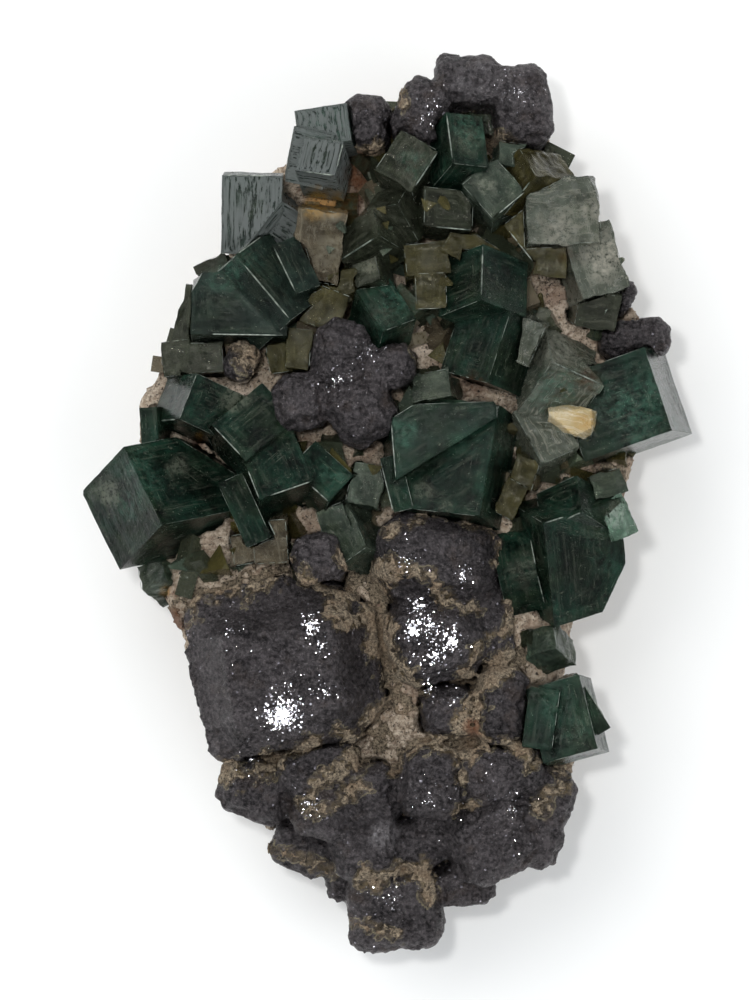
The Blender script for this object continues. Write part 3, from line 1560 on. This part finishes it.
@dataclass
class WeatheredMass:
    """A rough mass, of galena or rock: fine closed mesh, worn round and pitted."""

    node: str
    slot: str
    finish: Finish
    voxel_mm: float
    wear: int
    depths: dict[str, float]
    wear_strength: float = 0.6

    def build(self, tree: bpy.types.NodeTree, inputs: dict[str, str]) -> bpy.types.Object:
        """Makes the mass and hands it over.

        Args:
            tree: the weathering tree.
            inputs: the tree's input identifiers by name.

        Returns:
            The finished piece.
        """
        mesh = bmesh_to(self.node, merged_copy(self.node))
        obj = object_of(self.node + "_rough", mesh)
        remesh = obj.modifiers.new("fine", "REMESH")
        remesh.mode = "VOXEL"
        remesh.voxel_size = self.voxel_mm * MM
        worn = obj.modifiers.new("worn", "SMOOTH")
        worn.factor = self.wear_strength
        worn.iterations = self.wear
        rough = obj.modifiers.new("weathering", "NODES")
        rough.node_group = tree
        for name, value in self.depths.items():
            rough[inputs[name]] = value * MM
        rough[inputs["Finish"]] = FINISHES.get(self.finish)
        mesh = baked(obj)
        fall_away(mesh, self.node)
        keep_inside(mesh)
        mesh.shade_smooth()
        paint(mesh)
        mesh.materials.clear()
        mesh.materials.append(FINISHES.get(self.finish))
        hand_over(obj, self.slot, self.node)
        return obj


GALENA_WEAR = {
    "Lump Size": 4.2, "Lump Depth": 0.8, "Pit Size": 1.6, "Pit Depth": 2.4,
    "Grit Size": 0.9, "Grit Depth": 0.45, "Chip Size": 2.4, "Chip Depth": 0.5,
}
ROCK_WEAR = {
    "Lump Size": 3.0, "Lump Depth": 1.6, "Pit Size": 1.2, "Pit Depth": 2.4,
    "Grit Size": 0.6, "Grit Depth": 0.9, "Chip Size": 1.4, "Chip Depth": -0.5,
}


@dataclass
class Crust:
    """Tan grit that fills the seams, sown by a tree and fused into one lumpy sheet."""

    voxel_mm: float = 0.31
    per_mm2: float = 7.0
    smallest_mm: float = 0.12
    largest_mm: float = 0.34
    pile_mm: float = 0.12
    seed: int = 11

    def build(
        self, grounds: list[bpy.types.Object], tree: bpy.types.NodeTree, inputs: dict[str, str]
    ) -> bpy.types.Object:
        """Makes the crust and hands it over.

        Args:
            grounds: the pieces that it grows on.
            tree: the scatter tree.
            inputs: the tree's input identifiers by name.

        Returns:
            The finished piece.
        """
        bm = bmesh.new()
        for number, ground in enumerate(grounds):
            sower = object_of("crust_ground", ground.data)
            sow = sower.modifiers.new("scatter", "NODES")
            sow.node_group = tree
            sow[inputs["Per Square Metre"]] = self.per_mm2 / MM / MM
            sow[inputs["Smallest"]] = self.smallest_mm * MM
            sow[inputs["Largest"]] = self.largest_mm * MM
            sow[inputs["Pile"]] = self.pile_mm * MM
            sow[inputs["Seed"]] = self.seed + number
            sow[inputs["Mark"]] = Mark.CRUST.value
            sow[inputs["Finish"]] = FINISHES.get(GrittyCrust())
            bm.from_mesh(baked(sower))
            bpy.data.objects.remove(sower)
        mesh = bmesh_to("tan_crust", bm)
        obj = object_of("tan_crust", mesh)
        fuse = obj.modifiers.new("fuse", "REMESH")
        fuse.mode = "VOXEL"
        fuse.voxel_size = self.voxel_mm * MM
        mesh = baked(obj)
        keep_inside(mesh)
        mesh.shade_smooth()
        paint(mesh)
        mesh.materials.clear()
        mesh.materials.append(FINISHES.get(GrittyCrust()))
        hand_over(obj, "ironstone")
        return obj


@dataclass
class Druse:
    """Small broken crystals in the gaps between the large ones and on the small clusters."""

    name: str
    slot: str
    finish: Fluorite
    seed: int
    per_mm2: float = 0.05
    smallest_mm: float = 1.2
    largest_mm: float = 3.8
    pile_mm: float = 0.9
    shape: Lump = Lump.SPLINTER
    share_on_crystals: float = 0.3
    shrink_on_crystals: float = 0.5
    pile_on_crystals: float = 0.1

    def build(
        self, grounds: list[bpy.types.Object], tree: bpy.types.NodeTree, inputs: dict[str, str]
    ) -> bpy.types.Object:
        """Makes the small crystals and hands them over.

        Args:
            grounds: the rock that they grow on, then the clusters.
            tree: the scatter tree.
            inputs: the tree's input identifiers by name.

        Returns:
            The finished piece.
        """
        bm = bmesh.new()
        for number, ground in enumerate(grounds):
            share, shrink, pile = (
                (self.share_on_crystals, self.shrink_on_crystals, self.pile_on_crystals)
                if number else (1.0, 1.0, 1.0)
            )
            sower = object_of("druse_ground", ground.data)
            sow = sower.modifiers.new("scatter", "NODES")
            sow.node_group = tree
            sow[inputs["Per Square Metre"]] = self.per_mm2 * share / MM / MM
            sow[inputs["Smallest"]] = self.smallest_mm * MM * shrink
            sow[inputs["Largest"]] = self.largest_mm * MM * shrink
            sow[inputs["Pile"]] = self.pile_mm * MM * pile
            sow[inputs["Seed"]] = self.seed + number
            sow[inputs["Mark"]] = Mark.DRUSE.value
            sow[inputs["Finish"]] = FINISHES.get(self.finish)
            bm.from_mesh(baked(sower))
            bpy.data.objects.remove(sower)
        mesh = bmesh_to(self.name, bm)
        keep_inside(mesh)
        paint(mesh)
        mesh.materials.clear()
        mesh.materials.append(FINISHES.get(self.finish))
        obj = object_of(self.name, mesh)
        hand_over(obj, self.slot)
        return obj


@dataclass(frozen=True)
class Glitter:
    """A place on the galena where fresh facets face the light."""

    place: tuple[float, float]
    radius_mm: float
    facets: int
    largest_mm: float = 0.3


GLITTER = (
    Glitter((284, 714), 2.6, 520, 0.36), Glitter((310, 626), 2.2, 110, 0.30),
    Glitter((322, 645), 1.4, 30, 0.26), Glitter((290, 690), 4.5, 70, 0.16),
    Glitter((325, 690), 2.6, 50, 0.2), Glitter((230, 630), 4.0, 40, 0.16),
    Glitter((250, 760), 5.0, 60, 0.13), Glitter((418, 606), 1.8, 60, 0.30),
    Glitter((412, 630), 1.2, 70, 0.45), Glitter((430, 625), 3.4, 120, 0.24),
    Glitter((452, 640), 2.4, 110, 0.32), Glitter((435, 655), 3.2, 110, 0.24),
    Glitter((462, 575), 1.6, 50, 0.24), Glitter((404, 560), 3.0, 50, 0.18),
    Glitter((428, 688), 1.3, 40, 0.28), Glitter((455, 700), 2.6, 30, 0.16),
    Glitter((310, 805), 2.6, 80, 0.22), Glitter((430, 800), 6.0, 80, 0.14),
    Glitter((510, 810), 6.0, 90, 0.14), Glitter((390, 900), 6.0, 70, 0.14),
    Glitter((340, 380), 5.0, 90, 0.15), Glitter((370, 350), 3.0, 50, 0.15),
    Glitter((520, 90), 5.0, 70, 0.12), Glitter((430, 115), 4.0, 70, 0.14),
)


@dataclass
class GlitterFacets:
    """Fresh cleavage facets on the tarnished galena: small closed plates that catch the light."""

    half_way: tuple[float, float, float] = (-0.05, 0.04, 1.0)
    spread: float = 0.07
    seed: int = 23
    drop_from_mm: float = 50.0
    rim_lift_mm: float = 0.05
    root_lift_mm: float = -0.25
    root_share: float = 0.7

    def build(self, grounds: list[bpy.types.Object]) -> bpy.types.Object:
        """Makes the facets and hands them over.

        Args:
            grounds: the galena pieces that carry them.

        Returns:
            The finished piece.
        """
        dice = random.Random(self.seed)
        trees = [self.tree_of(ground.data) for ground in grounds]
        bm = bmesh.new()
        for glitter in GLITTER:
            x, y = plan_mm(glitter.place)
            for _ in range(glitter.facets):
                turn = dice.uniform(0, math.tau)
                far = glitter.radius_mm * min(abs(dice.gauss(0, 0.5)), 1.4)
                above = Vector((
                    x + far * math.cos(turn), y + far * math.sin(turn), self.drop_from_mm,
                )) * MM
                hits = [tree.ray_cast(above, Vector((0, 0, -1))) for tree in trees]
                hits = [hit[0] for hit in hits if hit[0]]
                if hits:
                    size = glitter.largest_mm * dice.uniform(0.2, 1.0) ** 1.5
                    self.facet(bm, max(hits, key=lambda p: p.z), size, dice)
        mesh = bmesh_to("glitter", bm)
        keep_inside(mesh)
        paint(mesh)
        mesh.materials.append(FINISHES.get(FreshGalena()))
        obj = object_of("galena_glitter", mesh)
        hand_over(obj, "galena")
        return obj

    def tree_of(self, mesh: bpy.types.Mesh) -> BVHTree:
        """Makes a search tree.

        Args:
            mesh: the mesh to search.

        Returns:
            The tree.
        """
        bm = bmesh.new()
        bm.from_mesh(mesh)
        tree = BVHTree.FromBMesh(bm)
        bm.free()
        return tree

    def facet(
        self, bm: bmesh.types.BMesh, at: Vector, size_mm: float, dice: random.Random
    ) -> None:
        """Adds one plate.

        Args:
            bm: the mesh that gets it.
            at: the point of the surface under it.
            size_mm: its width.
            dice: gives its turn, tilt and outline.
        """
        lean = Vector((dice.gauss(0, 1), dice.gauss(0, 1), 0)) * self.spread
        normal = (Vector(self.half_way) + lean).normalized()
        first = normal.orthogonal().normalized()
        second = normal.cross(first)
        count = dice.choice((4, 5, 6))
        start = dice.uniform(0, math.tau)
        rings = []
        for lift, share in ((self.rim_lift_mm, 1.0), (self.root_lift_mm, self.root_share)):
            middle = at + normal * lift * MM
            rings.append([
                bm.verts.new(middle + (first * math.cos(start + n * math.tau / count)
                             + second * math.sin(start + n * math.tau / count))
                             * size_mm * share * 0.5 * MM)
                for n in range(count)
            ])
        bm.faces.new(rings[0])
        bm.faces.new(rings[1][::-1])
        for n in range(count):
            m = (n + 1) % count
            bm.faces.new((rings[0][m], rings[0][n], rings[1][n], rings[1][m]))


@dataclass
class Studio:
    """The pale board, the soft lights and the camera over the specimen."""

    board_m: float = 6.0
    world: str = "#dfe3e8"
    world_strength: float = 0.84

    def build(self) -> None:
        """Sets up the board, lights, world and camera."""
        self.board()
        self.light("soft_key", place=(-1.5, 1.5, 2.2), size=2.8, power=46.0)
        self.light("soft_fill", place=(1.7, -1.1, 2.2), size=2.6, power=22.0)
        self.light("small_lamp", place=(-0.11, 0.09, 1.15), size=0.07, power=3.6)
        world = bpy.data.worlds.new("studio")
        world.use_nodes = True
        back = world.node_tree.nodes["Background"]
        back.inputs["Color"].default_value = linear(self.world)
        back.inputs["Strength"].default_value = self.world_strength
        bpy.context.scene.world = world
        bpy.context.scene.view_settings.view_transform = "Standard"
        self.camera()

    def board(self) -> None:
        """The board that the specimen lies on."""
        bm = bmesh.new()
        bmesh.ops.create_grid(bm, x_segments=4, y_segments=4, size=self.board_m / 2)
        mesh = bmesh_to("board", bm)
        mesh.materials.append(FINISHES.get(PaleBoard()))
        object_of("pale_board", mesh)

    def light(
        self, name: str, place: tuple[float, float, float], size: float, power: float
    ) -> None:
        """Adds a square light that faces the specimen.

        Args:
            name: the light's name.
            place: where it hangs, in metres.
            size: its side, in metres.
            power: in watts.
        """
        lamp = bpy.data.lights.new(name, "AREA")
        lamp.shape = "SQUARE"
        lamp.size = size
        lamp.energy = power
        obj = bpy.data.objects.new(name, lamp)
        bpy.context.scene.collection.objects.link(obj)
        obj.location = place
        aim = Vector((0, 0, CRYSTAL_LEVEL)) - Vector(place)
        obj.rotation_euler = aim.to_track_quat("-Z", "Y").to_euler()

    def camera(self) -> None:
        """The camera, straight above and far off."""
        data = bpy.data.cameras.new("camera")
        data.sensor_width = SENSOR_MM
        data.lens = SENSOR_MM * CAMERA_HEIGHT / (PICTURE_HEIGHT_MM * MM)
        camera = bpy.data.objects.new("camera", data)
        bpy.context.scene.collection.objects.link(camera)
        camera.location = (
            PICTURE_MIDDLE_MM[0] * MM, PICTURE_MIDDLE_MM[1] * MM, CRYSTAL_LEVEL + CAMERA_HEIGHT
        )
        bpy.context.scene.camera = camera


SLOT_FINISH = {
    "deep_green_fluorite": DEEP_GREEN, "steel_green_fluorite": STEEL_GREEN,
    "smoky_fluorite": SMOKY, "olive_fluorite": OLIVE, "tan_fluorite": TAN,
    "pale_fluorite": PALE, "mint_fluorite": MINT, "frosted_fluorite": FROSTED,
    "cream_fluorite": CREAM,
}
NODE_FINISH = {"fluorite_hopper_plate": SILVER, "fluorite_etched_corner": ETCHED}
OVERGROWN = (
    "fluorite_olive_ridge", "fluorite_top_druse", "fluorite_tan_block", "fluorite_olive_blocks",
    "fluorite_amber_pair", "fluorite_small_olive_pair", "fluorite_brown_pair",
    "fluorite_right_shoulder", "fluorite_grey_right", "fluorite_seam_shards",
    "fluorite_pale_mass", "fluorite_tan_shards", "fluorite_left_edge", "fluorite_pale_block",
)


FIRST_SEED = 100
SEED_STEP = 10
DRUSES = (
    Druse("smoky_druse", "smoky_fluorite", SMOKY, seed=300, per_mm2=0.075, smallest_mm=1.6,
          largest_mm=4.4, shape=Lump.SHARD),
    Druse("olive_druse", "olive_fluorite", OLIVE, seed=400),
    Druse("pale_druse", "pale_fluorite", PALE, seed=500, per_mm2=0.04),
    Druse("tan_druse", "tan_fluorite", TAN, seed=600, per_mm2=0.035, shape=Lump.SHARD),
)


def main() -> None:
    """Builds the specimen: galena and rock, then crust and glitter, then the fluorite."""
    logging.basicConfig(level=logging.INFO, format="%(message)s")
    weathering = WeatheringTree()
    weather_tree = weathering.build()
    sowers = {shape: ScatterTree("sow_" + shape.name.lower(), shape) for shape in Lump}
    for sower in sowers.values():
        sower.build()
    slots = {part["node"]: part["material_slot"] for part in frame["record"]["subparts"]}
    galena = [
        WeatheredMass(
            node, slot, TarnishedGalena(), voxel_mm=0.32, wear=2, depths=GALENA_WEAR
        ).build(weather_tree, weathering.inputs)
        for node, slot in slots.items() if slot == "galena"
    ]
    rock = WeatheredMass(
        "host_rock", "ironstone", Ironstone(), voxel_mm=0.5, wear=2, depths=ROCK_WEAR
    ).build(weather_tree, weathering.inputs)
    grit = sowers[Lump.GRAIN]
    Crust().build(galena + [rock], grit.tree, grit.inputs)
    GlitterFacets().build(galena)
    clusters = {}
    for seed, (node, slot) in enumerate(slots.items()):
        if slot in SLOT_FINISH:
            finish = NODE_FINISH.get(node, SLOT_FINISH[slot])
            cluster = FluoriteCluster(node, slot, finish, FIRST_SEED + seed * SEED_STEP)
            clusters[node] = cluster.build()
    grounds = [rock] + [clusters[node] for node in OVERGROWN]
    for druse in DRUSES:
        sower = sowers[druse.shape]
        under = grounds if druse.shape is Lump.SPLINTER else [rock]
        druse.build(under, sower.tree, sower.inputs)
    Studio().build()


if __name__ == "__main__":
    main()
